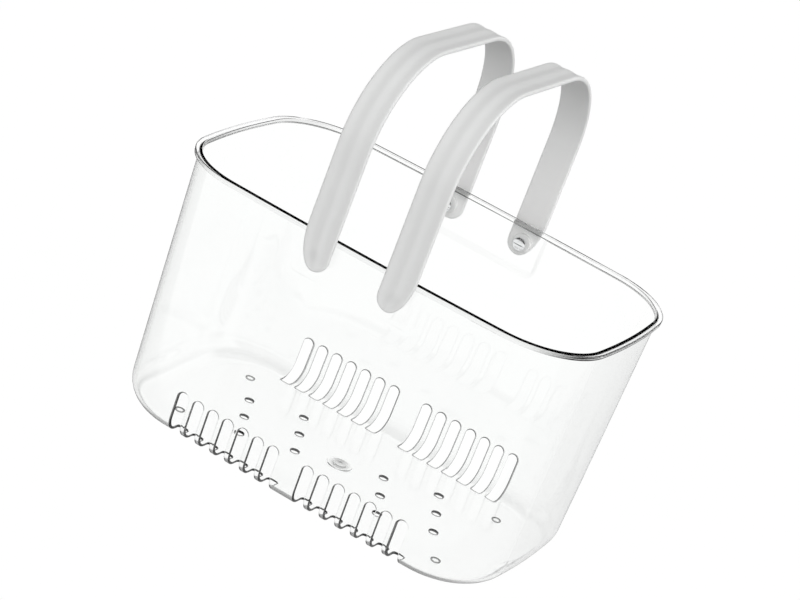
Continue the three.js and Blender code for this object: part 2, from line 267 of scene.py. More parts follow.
# Studio light: directions as the y and z of a unit vector, heights as angles, and spreads in degrees
TENT_TOP_Z = (math.sin(math.radians(38.0)), math.sin(math.radians(50.0)))
TENT_TOP_LIGHT = 0.04
DARK_ROOM = 0.95
DARK_ROOM_Y = (-0.35, -0.1)
DARK_ROOM_Z = (0.03, 0.15)
TENT_LIGHT = 0.22
KEY_LIGHT = 2.25
KEY_HEIGHT = math.radians(30.0)
KEY_SPREAD = (12.0, 36.0)
SIDE_LIGHT = 1.8
SIDE_HEIGHT = math.radians(14.0)
SIDE_SPREAD = (20.0, 60.0)

# Camera: where it stands round and above the tub, how far it is rolled, and what it looks at
CAMERA_AZIMUTH = math.radians(20.3335)
CAMERA_ELEVATION = math.radians(21.6728)
CAMERA_ROLL = math.radians(21.1613)
CAMERA_TARGET = np.array([-2.214, 0.0, 126.192]) * MM
CAMERA_DISTANCE = 1793.3 * MM
CAMERA_LENS = 125.54


class Value:
    """One output of a shader node. Arithmetic on it adds Math nodes to its tree."""

    def __init__(self, shading, socket):
        self.shading = shading
        self.socket = socket

    def math(self, operation, first, second=0.0):
        return self.shading.add("ShaderNodeMath", {"operation": operation}, {0: first, 1: second})

    def __add__(self, other):
        return self.math("ADD", self, other)

    def __radd__(self, other):
        return self.math("ADD", other, self)

    def __sub__(self, other):
        return self.math("SUBTRACT", self, other)

    def __rsub__(self, other):
        return self.math("SUBTRACT", other, self)

    def __mul__(self, other):
        return self.math("MULTIPLY", self, other)

    def __rmul__(self, other):
        return self.math("MULTIPLY", other, self)

    def __pow__(self, other):
        return self.math("POWER", self, other)

    def __abs__(self):
        return self.math("ABSOLUTE", self)

    def at_least(self, limit):
        return self.math("MAXIMUM", self, limit)

    def at_most(self, limit):
        return self.math("MINIMUM", self, limit)

    def sign(self):
        return self.math("SIGN", self)

    def rounded(self):
        return self.math("ROUND", self)

    def sine(self):
        return self.math("SINE", self)

    def hypotenuse(self, other):
        return (self ** 2.0 + other ** 2.0) ** 0.5


class Shading:
    """The node tree of one material, or of the world, as it is put together."""

    def __init__(self, tree):
        self.tree = tree
        tree.nodes.clear()

    def add(self, kind, settings=None, inputs=None, output=0):
        """Adds a node: its settings first, then a value or a link on each named input."""
        node = self.tree.nodes.new(kind)
        for name, setting in (settings or {}).items():
            setattr(node, name, setting)
        for name, value in (inputs or {}).items():
            if isinstance(value, Value):
                self.tree.links.new(value.socket, node.inputs[name])
            else:
                node.inputs[name].default_value = value
        return Value(self, node.outputs[output]) if len(node.outputs) else None

    def noise(self, place, scale, detail):
        """Soft noise between 0 and 1, of the given number of waves to the metre."""
        return self.add("ShaderNodeTexNoise", None, {"Vector": place, "Scale": scale, "Detail": detail})

    def ramp(self, value, start, end, low, high):
        """Goes smoothly from low to high as the value goes from start to end."""
        limits = {"Value": value, 1: start, 2: end, 3: low, 4: high}
        return self.add("ShaderNodeMapRange", {"interpolation_type": "SMOOTHSTEP"}, limits)

    def rise(self, value, start, end):
        """Goes smoothly from 0 to 1 as the value goes from start to end."""
        return self.ramp(value, start, end, 0.0, 1.0)

    def fall(self, value, start, end):
        """Goes smoothly from 1 to 0 as the value goes from start to end."""
        return self.ramp(value, start, end, 1.0, 0.0)

    def tint(self, share, first, second):
        """Colour between two colours, each of them red, green and blue, or another node's colour."""
        first, second = (end if isinstance(end, Value) else (*end, 1.0) for end in (first, second))
        return self.add("ShaderNodeMix", {"data_type": "RGBA"}, {0: share, 6: first, 7: second}, output=2)

    def bump(self, height, strength, depth):
        """Normal of the surface as a height between 0 and 1 raises it by up to the depth."""
        raised = {"Strength": strength, "Distance": depth, "Height": height}
        return self.add("ShaderNodeBump", None, raised)

    def blend(self, share, first, second):
        """Shader between two shaders."""
        return self.add("ShaderNodeMixShader", None, {0: share, 1: first, 2: second})

    def open_way(self, share):
        """Lets a share of the light straight through."""
        return self.add("ShaderNodeBsdfTransparent", None, {"Color": (share, share, share, 1.0)})

    def glow(self, colour, strength=1.0):
        """Light of its own."""
        return self.add("ShaderNodeEmission", None, {"Color": colour, "Strength": strength})

    def cover(self, shader):
        """Puts a shader on the material's surface."""
        self.add("ShaderNodeOutputMaterial", None, {"Surface": shader})

    def place(self):
        """Object coordinates."""
        return self.add("ShaderNodeTexCoord", output="Object")

    def rays(self, *kinds):
        """1 for rays of any of the named kinds, and 0 for the rest."""
        outputs = self.add("ShaderNodeLightPath").socket.node.outputs
        total = Value(self, outputs[kinds[0]])
        for kind in kinds[1:]:
            total = total.at_least(Value(self, outputs[kind]))
        return total

    def parts(self, vector):
        """The x, y and z of a vector."""
        outputs = self.add("ShaderNodeSeparateXYZ", None, {0: vector}).socket.node.outputs
        return [Value(self, output) for output in outputs]

    def lobe(self, way, towards, full, none):
        """1 within an angle of a direction, going smoothly to 0 at a wider angle, in degrees."""
        product = {"operation": "DOT_PRODUCT"}
        nearness = self.add("ShaderNodeVectorMath", product, {0: way, 1: towards}, "Value")
        return self.rise(nearness, math.cos(math.radians(none)), math.cos(math.radians(full)))


def new_shading(name):
    """An empty material and its tree."""
    material = bpy.data.materials.new(name)
    material.use_nodes = True
    return material, Shading(material.node_tree)


def smooth(share):
    """Smooth step: 3 s squared less 2 s cubed, held at 0 and 1 outside the step."""
    share = np.clip(share, 0.0, 1.0)
    return share * share * (3.0 - 2.0 * share)


def circle_arc(centre, radius, start, end, steps):
    """Points of a circle's arc between two angles in degrees, one row each."""
    angle = np.radians(np.linspace(start, end, steps + 1))
    return np.array(centre) + radius * np.column_stack([np.cos(angle), np.sin(angle)])


def grid_quads(rows, columns, closed):
    """Quads between neighbouring rows and columns of a grid, and from last to first column if closed."""
    across = columns if closed else columns - 1
    row, column = np.meshgrid(np.arange(rows - 1), np.arange(across), indexing="ij")
    here = row * columns + column
    beside = row * columns + (column + 1) % columns
    return np.stack([here, beside, beside + columns, here + columns], axis=-1)


def clean(mesh):
    """Merges points that lie together, takes out faces without area and turns all faces outward."""
    work = bmesh.new()
    work.from_mesh(mesh)
    bmesh.ops.remove_doubles(work, verts=work.verts, dist=SAME_POINT)
    bmesh.ops.dissolve_degenerate(work, edges=work.edges, dist=NO_AREA)
    bmesh.ops.recalc_face_normals(work, faces=work.faces)
    work.to_mesh(mesh)
    work.free()


def new_object(name, patches):
    """Joins patches of points and quads into one mesh with shared points and outward faces."""
    start = np.cumsum([0] + [len(points) for points, _ in patches[:-1]])
    points = np.vstack([points for points, _ in patches])
    quads = np.vstack([quads + first for (_, quads), first in zip(patches, start)])
    mesh = bpy.data.meshes.new(name)
    mesh.from_pydata(points.tolist(), [], quads.tolist())
    clean(mesh)
    piece = bpy.data.objects.new(name, mesh)
    bpy.context.scene.collection.objects.link(piece)
    return piece


def carve(piece, cutter, operation):
    """Cuts the cutter out of the piece, or joins it on, and removes the cutter."""
    modifier = piece.modifiers.new(operation, "BOOLEAN")
    modifier.operation = operation
    modifier.solver = "EXACT"
    modifier.object = cutter
    evaluated = piece.evaluated_get(bpy.context.evaluated_depsgraph_get())
    result = bpy.data.meshes.new_from_object(evaluated)
    clean(result)
    piece.modifiers.clear()
    piece.data = result
    bpy.data.objects.remove(cutter)


def finish_piece(piece, material, body, node):
    """Smooth faces with flats kept flat, a finish, and the body that the piece goes by; the CAD part is
    hidden.
    """
    mesh = piece.data
    mesh.materials.clear()
    mesh.materials.append(material)
    mesh.shade_smooth()
    mesh.set_sharp_from_angle(angle=SHARP_ANGLE)
    weighted = piece.modifiers.new("flats_stay_flat", "WEIGHTED_NORMAL")
    weighted.keep_sharp = True
    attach(piece, body)
    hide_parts(node)


def revolve(profile, x, y, z, axis):
    """Profile points (radius, distance along the axis) turned about an axis along Y or Z through a point."""
    angle = np.linspace(0.0, 2.0 * np.pi, TURN_STEPS, endpoint=False)
    radius = profile[:, :1]
    along = profile[:, 1:] + 0.0 * angle
    across, up = radius * np.cos(angle), radius * np.sin(angle)
    if axis == "Z":
        points = np.stack([x + across, y + up, z + along], axis=-1)
    else:
        points = np.stack([x + across, y + along, z + up], axis=-1)
    return points.reshape(-1, 3), grid_quads(len(profile), TURN_STEPS, True).reshape(-1, 4)


def bow(x):
    """Fall of the bowed long side at x, 0 in its middle and negative beside it: a wide circle's."""
    return np.sqrt(LONG_SIDE_RADIUS ** 2 - x ** 2) - LONG_SIDE_RADIUS


def plan_size(z, inset):
    """Half length, half depth and corner radius of the drafted wall at a height, moved in by the inset."""
    rise = (z - FOOT_HEIGHT) / (RIM_Z - FOOT_HEIGHT)
    half_length = BASE_HALF_LENGTH + rise * (TOP_HALF_LENGTH - BASE_HALF_LENGTH) - inset
    half_depth = BASE_HALF_DEPTH + rise * (TOP_HALF_DEPTH - BASE_HALF_DEPTH) - inset
    return half_length, half_depth, CORNER_RADIUS - inset


def corner_centre(half_length, half_depth, radius):
    """Centre of a corner arc: the point that lies one radius inside the end's circle and the long side's."""
    side_y, end_x = half_depth - LONG_SIDE_RADIUS, half_length - END_RADIUS
    from_side, from_end = LONG_SIDE_RADIUS - radius, END_RADIUS - radius
    apart = np.hypot(end_x, side_y)
    along = (from_side ** 2 - from_end ** 2 + apart ** 2) / (2.0 * apart)
    across = np.sqrt(from_side ** 2 - along ** 2)
    way_x, way_y = end_x / apart, -side_y / apart
    return along * way_x + across * way_y, side_y + along * way_y - across * way_x


def slot_centres():
    """X of the slots of the back wall, from the right to the left."""
    right = SLOT_FIRST_X + SLOT_PITCH * np.arange(SLOTS_PER_GROUP)[::-1]
    return np.concatenate([right, -right[::-1]])


def side_lines():
    """X of the grid's lines on the long side: even steps over each group of slot cells and the gap."""
    inner = SLOT_FIRST_X - 0.5 * SLOT_PITCH
    outer = inner + SLOTS_PER_GROUP * SLOT_PITCH
    group = np.linspace(outer, inner, SLOTS_PER_GROUP * CELL_STEPS + 1)
    gap = np.linspace(inner, -inner, MIDDLE_STEPS + 1)[1:-1]
    return np.concatenate([group, gap, -group[::-1]])


def half_outline(z, inset):
    """Back half of the plan outline for each row: half the bowed right end, a corner arc that is tangent to
    the end and to the bowed side, the bowed side, and the same again mirrored on the left."""
    half_length, half_depth, radius = plan_size(z, inset)
    corner_x, corner_y = corner_centre(half_length, half_depth, radius)
    end_x = half_length - END_RADIUS
    end_turn = np.arctan2(corner_y, corner_x - end_x)
    side_turn = np.arctan2(corner_y - half_depth + LONG_SIDE_RADIUS, corner_x)
    on_end = end_turn * np.linspace(0.0, 1.0, END_STEPS, endpoint=False)
    turn = end_turn + (side_turn - end_turn) * np.linspace(0.0, 1.0, CORNER_STEPS + 1)
    right_x = np.hstack([end_x + END_RADIUS * np.cos(on_end), corner_x + radius * np.cos(turn)])
    right_y = np.hstack([END_RADIUS * np.sin(on_end), corner_y + radius * np.sin(turn)])
    side_x = side_lines() + 0.0 * z
    x = np.hstack([right_x, side_x, -right_x[:, ::-1]])
    y = np.hstack([right_y, half_depth + bow(side_x), right_y[:, ::-1]])
    return np.stack([x, y, z + 0.0 * x], axis=-1)


def band_skin(t, depth, fillet):
    """Height and inset of the skin in the slot band. t goes 0 to 1 over the floor, 1 to 2 round the fillet
    and 2 to 3 up the wall; depth goes from 0 on the outer face to 1 on the inner face."""
    floor_z = FOOT_HEIGHT + FLOOR * depth
    radius = fillet - WALL * depth
    turn = 0.5 * np.pi * np.clip(t - 1.0, 0.0, 1.0)
    climb = np.clip(t - 2.0, 0.0, 1.0) * (BAND_TOP_Z - floor_z - radius)
    z = floor_z + radius * (1.0 - np.cos(turn)) + climb
    inset = WALL * depth + radius * (1.0 - np.sin(turn)) + BAND_FLOOR * (1.0 - np.clip(t, 0.0, 1.0))
    return z, inset


# Lengths along the band's middle surface, at which t is 0, 1, 2 and 3
BAND_KNOTS = np.cumsum([
    0.0,
    BAND_FLOOR,
    0.5 * np.pi * (SIDE_FILLET - 0.5 * WALL),
    BAND_TOP_Z - FOOT_HEIGHT - SIDE_FILLET,
])


def band_t(length):
    """The band's t at a length along it."""
    return np.interp(length, BAND_KNOTS, np.arange(4.0))


def slot_ends():
    """Lengths along the band at which the slot's two end curves have their centres."""
    floor_end = SLOT_END_Y - (BASE_HALF_DEPTH - SIDE_FILLET - BAND_FLOOR)
    wall_end = BAND_KNOTS[3] - (BAND_TOP_Z - SLOT_TOP_Z)
    return floor_end + SLOT_HALF_WIDTH, wall_end - SLOT_HALF_WIDTH


def band_lengths():
    """Lengths of the grid's rows in the band: those that the sides of a slot cell need."""
    low, high = slot_ends()
    return np.concatenate([
        np.linspace(0.0, low, SLOT_END_STEPS, endpoint=False),
        np.linspace(low, high, SLOT_SIDE_STEPS, endpoint=False),
        np.linspace(high, BAND_KNOTS[3], SLOT_END_STEPS + 1),
    ])


def cell_border():
    """Points round the border of a slot cell, as x from its middle and length along the band, anticlockwise
    from the lower right corner."""
    lengths = band_lengths()
    half = 0.5 * SLOT_PITCH
    across = np.linspace(half, -half, CELL_STEPS + 1)
    rising, falling = lengths[:-1], lengths[:0:-1]
    x = np.concatenate([half + 0.0 * rising, across[:-1], -half + 0.0 * falling, -across[:-1]])
    top, bottom = lengths[-1] + 0.0 * across[:-1], lengths[0] + 0.0 * across[:-1]
    return x, np.concatenate([rising, top, falling, bottom])


def slot_cells():
    """Cells of the band on the back wall. In each, rings go from the cell's border in to the slot's rounded
    edge on the outer face, through the wall and out again to the border on the inner face. The slot is
    two straight sides, a half circle on the wall, and on the floor a half of a squarish superellipse. It
    narrows evenly from the outer face to the inner one."""
    border_x, border_s = cell_border()
    low, high = slot_ends()
    on_end = np.clip(border_s, low, high)
    angle = np.arctan2(border_s - on_end, border_x)
    power = np.where(border_s < low, SLOT_FLOOR_POWER, 2.0)
    reach = (np.abs(np.cos(angle)) ** power + np.abs(np.sin(angle)) ** power) ** (-1.0 / power)
    on_side = (border_s >= low) & (border_s <= high)
    way_x = np.where(on_side, np.sign(border_x), reach * np.cos(angle))
    way_s = np.where(on_side, 0.0, reach * np.sin(angle))

    edge = circle_arc((SLOT_EDGE_ROUND, SLOT_EDGE_ROUND), SLOT_EDGE_ROUND, 270.0, 180.0, ROUND_STEPS)
    rim = np.vstack([[2.0 * SLOT_EDGE_ROUND, 0.0], edge])
    through = np.vstack([rim, np.column_stack([rim[::-1, 0], WALL - rim[::-1, 1]])])
    depth = through[:, 1:] / WALL
    half_width = SLOT_HALF_WIDTH + through[:, :1] + SLOT_DRAFT * (0.5 - depth)

    cells = []
    for centre in slot_centres():
        slide = -bow(centre) * (high - on_end) / (high - low)
        ring_x = centre + way_x * half_width
        ring_s = on_end + slide + way_s * half_width
        x = np.vstack([centre + border_x, ring_x, centre + border_x])
        t = band_t(np.vstack([border_s, ring_s, border_s]))
        z, inset = band_skin(t, np.vstack([[0.0], depth, [1.0]]), SIDE_FILLET)
        y = plan_size(z, inset)[1] + bow(x)
        points = np.stack([x, y, z], axis=-1)
        cells.append((points.reshape(-1, 3), grid_quads(*x.shape, True).reshape(-1, 4)))
    return cells


def floor_rows(z, fillet):
    """Rows of the floor from its middle line out to the band, as height, inset and share of the width."""
    inset = fillet + BAND_FLOOR
    deepest = CORNER_RADIUS - LEAST_CORNER
    middle = [(z, deepest, spread) for spread in FLOOR_SPREADS]
    outward = np.linspace(deepest, inset, FLOOR_STEPS, endpoint=False)
    return middle + [(z, step, 1.0) for step in outward]


def tub_rows(fillet):
    """Section of the tub as rows of height, inset and share of the width: the floor's underside from the
    middle out, up the outside, over the rim bead on its arcs, down the inside and in to the middle."""
    bottom_z = RIM_Z - RIM_HEIGHT
    reach = RIM_OVERHANG - RIM_ROUND
    bead = np.vstack([
        circle_arc((RIM_ROOT_ROUND, bottom_z - RIM_ROOT_ROUND), RIM_ROOT_ROUND, 180.0, 90.0, ROUND_STEPS),
        circle_arc((reach, bottom_z + RIM_ROUND), RIM_ROUND, 270.0, 360.0, ROUND_STEPS),
        circle_arc((reach, RIM_Z - RIM_ROUND), RIM_ROUND, 0.0, 90.0, ROUND_STEPS),
        circle_arc((RIM_ROUND - WALL, RIM_Z - RIM_ROUND), RIM_ROUND, 90.0, 180.0, ROUND_STEPS),
    ])
    t = band_t(band_lengths())
    outer_z, outer_inset = band_skin(t, 0.0, fillet)
    inner_z, inner_inset = band_skin(t[::-1], 1.0, fillet)
    pad_z = PAD_BOTTOM_Z + PAD_STEP * np.linspace(-PAD_STEP_REACH, PAD_STEP_REACH, PAD_STEPS + 1)
    wall_z = np.concatenate([
        np.linspace(BAND_TOP_Z, pad_z[0], WALL_STEPS + 1)[1:-1],
        pad_z,
        np.linspace(pad_z[-1], bottom_z - 2.0 * RIM_ROOT_ROUND, TOP_STEPS + 1)[1:],
    ])
    inside_z = np.linspace(RIM_Z - 3.0 * RIM_ROUND, BAND_TOP_Z, INSIDE_STEPS, endpoint=False)
    rows = floor_rows(FOOT_HEIGHT, fillet)
    rows += list(zip(outer_z, outer_inset, np.ones_like(t)))
    rows += [(z, 0.0, 1.0) for z in wall_z]
    outside = len(rows)
    rows += [(z, -out, 1.0) for out, z in bead]
    rows += [(z, WALL, 1.0) for z in inside_z]
    rows += list(zip(inner_z, inner_inset, np.ones_like(t)))
    rows += floor_rows(FOOT_HEIGHT + FLOOR, fillet)[::-1]
    return np.array(rows), outside


def raise_pads(points):
    """Brings the outer wall out to the flat pad face, over a smooth step round a rounded rectangle."""
    x, y, z = points[..., 0], points[..., 1], points[..., 2]
    side = np.maximum(np.abs(x) - (PAD_HALF_WIDTH - PAD_CORNER), 0.0)
    below = np.maximum(PAD_BOTTOM_Z + PAD_CORNER - z, 0.0)
    cover = smooth(0.5 + (PAD_CORNER - np.hypot(side, below)) / PAD_STEP)
    points[..., 1] = y + cover * np.maximum(PAD_FACE_Y - y, 0.0)


def tub_half():
    """Back half of the tub: its section carried round the plan outline, with the slot cells put in. Through
    the corners the section goes from the long sides' fillet to the ends' wider one."""
    rows, outside = tub_rows(SIDE_FILLET)
    end_rows, _ = tub_rows(END_FILLET)
    points = half_outline(rows[:, :1], rows[:, 1:2])
    past_corner = (np.abs(points[..., :1]) - CORNER_X) / (points[:, :1, :1] - CORNER_X)
    share = np.clip(past_corner, 0.0, 1.0) ** 2
    points += share * (half_outline(end_rows[:, :1], end_rows[:, 1:2]) - points)
    points[..., 1] *= rows[:, 2:]
    raise_pads(points[:outside + ROUND_STEPS + 1])
    quads = grid_quads(*points.shape[:2], False)
    keep = np.ones(quads.shape[:2], bool)
    group = SLOTS_PER_GROUP * CELL_STEPS
    first = END_STEPS + CORNER_STEPS + 1
    band = len(band_lengths()) - 1
    start = len(floor_rows(FOOT_HEIGHT, SIDE_FILLET))
    for row in (start, len(rows) - start - band - 1):
        for column in (first, first + group + MIDDLE_STEPS):
            keep[row:row + band, column:column + group] = False
    return [(points.reshape(-1, 3), quads[keep]), *slot_cells()]


def drain_hole(x, y):
    """Cutter for a drain hole: a cylinder that flares at both faces of the floor on most of a quarter
    circle."""
    low, high = FOOT_HEIGHT, FOOT_HEIGHT + FLOOR
    below, above = low - CUT_MARGIN, high + CUT_MARGIN
    wide = HOLE_RADIUS + HOLE_EDGE_ROUND
    low_round, high_round = (wide, low + HOLE_EDGE_ROUND), (wide, high - HOLE_EDGE_ROUND)
    profile = np.vstack([
        [[0.0, below], [wide, below]],
        circle_arc(low_round, HOLE_EDGE_ROUND, 180.0 + HOLE_FLARE, 180.0, ROUND_STEPS),
        circle_arc(high_round, HOLE_EDGE_ROUND, 180.0, 180.0 - HOLE_FLARE, ROUND_STEPS),
        [[wide, above], [0.0, above]],
    ])
    return revolve(profile, x, y, 0.0, "Z")


def shank_hole(x, side, near, far):
    """Cutter for a screw's hole: a plain cylinder along Y between two distances from the tub's middle."""
    radius = SHANK_RADIUS + RUNNING_GAP
    profile = np.array([[0.0, near], [radius, near], [radius, far], [0.0, far]])
    return revolve(profile * (1.0, side), x, 0.0, PIVOT_Z, "Y")


def foot(x, y):
    """A round foot with a rounded lower edge, let into the floor."""
    rounding = circle_arc((FOOT_RADIUS - FOOT_ROUND, FOOT_ROUND), FOOT_ROUND, 270.0, 360.0, ROUND_STEPS)
    top = FOOT_HEIGHT + 0.5 * FLOOR
    profile = np.vstack([[[0.0, 0.0]], rounding, [[FOOT_RADIUS, top], [0.0, top]]])
    return revolve(profile, x, y, 0.0, "Z")


def gate_mark():
    """Where the plastic came in, in the middle of the floor: a steep nub with a dished top inside a low
    ring. The ring's section is half a sine wave, steeper outside, and the nub's side a quarter circle. The
    ring starts just below the floor's face and the nub just above it, so no two faces lie in one plane."""
    top = FOOT_HEIGHT + FLOOR
    share = np.linspace(0.0, 1.0, GATE_STEPS + 1)
    ring = np.column_stack([
        GATE_RING_RADIUS + share * (GATE_VALLEY_RADIUS - GATE_RING_RADIUS),
        top + GATE_RING_HEIGHT * np.sin(np.pi * np.sqrt(share)) + GATE_SINK * (2.0 * share - 1.0),
    ])
    side = circle_arc((GATE_RADIUS - GATE_HEIGHT, top + GATE_SINK), GATE_HEIGHT, 0.0, 90.0, ROUND_STEPS)
    dish = np.array([[GATE_DISH_RADIUS, top + GATE_DISH_EDGE], [0.0, top + GATE_DISH_MIDDLE]])
    buried = top - 0.5 * FLOOR
    profile = np.vstack([[[0.0, buried], [GATE_RING_RADIUS, buried]], ring, side, dish])
    return revolve(profile, 0.0, 0.0, 0.0, "Z")


def make_tub(material):
    """The clear tub: two halves, feet and gate mark joined on, drain holes and pivot holes cut."""
    back = tub_half()
    half_turn = np.array([-1.0, -1.0, 1.0])
    tub = new_object("tub", back + [(points * half_turn, quads) for points, quads in back])
    foot_x, foot_y = FOOT_PLACE
    feet = [foot(x, y) for x in (-foot_x, foot_x) for y in (-foot_y, foot_y)]
    carve(tub, new_object("feet_and_gate", [*feet, gate_mark()]), "UNION")
    places = [(block, 0.0) + row * HOLE_ROW + column * HOLE_COLUMN
              for block in (-HOLE_BLOCK_X, HOLE_BLOCK_X) for row in (-0.5, 0.5) for column in (-1, 0, 1)]
    holes = [drain_hole(x, y) for x, y in places]
    through_wall = BASE_HALF_DEPTH, TUB_HIGH[1]
    holes += [shank_hole(x, side, *through_wall) for x in (-PIVOT_X, PIVOT_X) for side in (-1.0, 1.0)]
    carve(tub, new_object("drain_and_pivot_holes", holes), "DIFFERENCE")
    finish_piece(tub, material, "tub", "basket_tub")


def tongue_edges(rise):
    """Inner and outer edge of the right strap at a height above its tip, as x and as inward directions in
    x and height. The inner edge runs in to the tip on a quarter circle, the outer edge on a quarter of an
    ellipse."""
    tip_x = STRAP_LOW[0] + TONGUE_INNER_RADIUS
    width = STRAP_HIGH[0] - tip_x
    inner_drop = np.maximum(0.0, 1.0 - rise / TONGUE_INNER_RADIUS)
    outer_drop = np.maximum(0.0, 1.0 - rise / TONGUE_OUTER_RISE)
    inner_share = np.sqrt(1.0 - inner_drop ** 2)
    outer_share = np.sqrt(1.0 - outer_drop ** 2)
    inner_way = np.column_stack([inner_share, inner_drop])
    outer_way = np.column_stack([-outer_share / width, outer_drop / TONGUE_OUTER_RISE])
    outer_way /= np.linalg.norm(outer_way, axis=1, keepdims=True)
    return tip_x - TONGUE_INNER_RADIUS * inner_share, inner_way, tip_x + width * outer_share, outer_way


def arch_rows():
    """Rows of the strap from the back tip to the front tip: height above the tip for the edges, then y and
    z of the strap's middle surface, and the lean of its outward direction. Legs are straight, and shoulders
    are quarter circles."""
    centre_y = STRAP_HIGH[1] - SHOULDER_RADIUS
    centre_z = STRAP_HIGH[2] - SHOULDER_RADIUS
    radius = SHOULDER_RADIUS - 0.5 * STRAP_THICKNESS
    round_rise = TONGUE_INNER_RADIUS * (1.0 - np.cos(np.linspace(0.0, 0.5 * np.pi, TIP_STEPS + 1)))
    leg = centre_z - STRAP_LOW[2]
    rise = np.concatenate([
        round_rise,
        np.linspace(TONGUE_INNER_RADIUS, TONGUE_OUTER_RISE, TONGUE_STEPS + 1)[1:],
        np.linspace(TONGUE_OUTER_RISE, leg, LEG_STEPS + 1)[1:-1],
    ])
    lean = np.linspace(0.0, 0.5 * np.pi, SHOULDER_STEPS + 1)
    y = np.concatenate([centre_y + radius + 0.0 * rise, centre_y + radius * np.cos(lean)])
    z = np.concatenate([STRAP_LOW[2] + rise, centre_z + radius * np.sin(lean)])
    y = np.append(y, np.linspace(centre_y, 0.0, CROSSBAR_STEPS + 1)[1:])
    z = np.append(z, np.full(CROSSBAR_STEPS, centre_z + radius))
    lean = np.concatenate([0.0 * rise, lean, np.full(CROSSBAR_STEPS, 0.5 * np.pi)])
    rise = np.append(rise, np.full(len(y) - len(rise), leg))
    back = slice(-2, None, -1)
    return (np.append(rise, rise[back]), np.append(y, -y[back]),
            np.append(z, z[back]), np.append(lean, np.pi - lean[back]))


def strap():
    """The right strap as one grid. Each row is a ring round the strap: a rounded edge, the outer face with a
    shallow groove on each side of its middle, the other rounded edge and the flat inner face, laid off along
    the inward directions of the outline. The grooves are a sine squared of two waves."""
    rise, y, z, lean = arch_rows()
    inner_x, inner_way, outer_x, outer_way = tongue_edges(rise)
    corner = circle_arc((STRAP_EDGE_ROUND, 0.5 * STRAP_THICKNESS - STRAP_EDGE_ROUND), STRAP_EDGE_ROUND,
                        180.0, 90.0, ROUND_STEPS)
    edge = np.vstack([corner[::-1] * (1.0, -1.0), corner])
    share = np.linspace(0.0, 1.0, FACE_STEPS + 1)[1:-1]

    def laid_off(x, way, profile):
        """Edge points moved in along the outline's inward direction, with their height off the middle."""
        move = way[:, None, :] * profile[:, :1]
        height = profile[:, 1] + 0.0 * move[..., 0]
        return np.stack([x[:, None] + move[..., 0], move[..., 1], height], axis=-1)

    inner_edge = laid_off(inner_x, inner_way, edge)
    outer_edge = laid_off(outer_x, outer_way, edge[::-1])
    outer_face = inner_edge[:, -1:] + share[:, None] * (outer_edge[:, :1] - inner_edge[:, -1:])
    inner_face = outer_edge[:, -1:] + share[:, None] * (inner_edge[:, :1] - outer_edge[:, -1:])
    fullness = ((outer_x - inner_x) / (STRAP_HIGH[0] - STRAP_LOW[0])) ** 2
    outer_face[..., 2] -= fullness[:, None] * STRAP_GROOVE * np.sin(2.0 * np.pi * share) ** 2
    ring = np.concatenate([inner_edge, outer_face, outer_edge, inner_face], axis=1)
    x, shift, height = ring[..., 0], ring[..., 1], ring[..., 2]
    out_y, out_z = np.cos(lean)[:, None], np.sin(lean)[:, None]
    up = np.where(lean <= 0.5 * np.pi, 1.0, -1.0)[:, None] * shift
    points = np.stack([x, y[:, None] + height * out_y - up * out_z,
                       z[:, None] + height * out_z + up * out_y], axis=-1)
    return points.reshape(-1, 3), grid_quads(*x.shape, True).reshape(-1, 4)


def pivot_boss(x, side):
    """The round boss on the inner face of a tongue, let into the strap: a cylinder along Y with a rounded
    edge."""
    face, root = PAD_FACE_Y + RUNNING_GAP, STRAP_MIDDLE_Y
    edge = circle_arc((BOSS_RADIUS - BOSS_ROUND, face + BOSS_ROUND), BOSS_ROUND, 270.0, 360.0, ROUND_STEPS)
    profile = np.vstack([[[0.0, face]], edge, [[BOSS_RADIUS, root], [0.0, root]]])
    return revolve(profile * (1.0, side), x, 0.0, PIVOT_Z, "Y")


def make_handle(hand, x_side, material):
    """One strap handle with its two bosses and their blind screw holes; the left mirrors the right."""
    points, quads = strap()
    handle = new_object(f"{hand}_strap", [(points * (x_side, 1.0, 1.0), quads)])
    x = x_side * PIVOT_X
    bosses = [pivot_boss(x, side) for side in (-1.0, 1.0)]
    holes = [shank_hole(x, side, PAD_FACE_Y, STRAP_MIDDLE_Y) for side in (-1.0, 1.0)]
    carve(handle, new_object("bosses", bosses), "UNION")
    carve(handle, new_object("screw_holes", holes), "DIFFERENCE")
    finish_piece(handle, material, f"{hand}_handle", f"handle_{hand}")


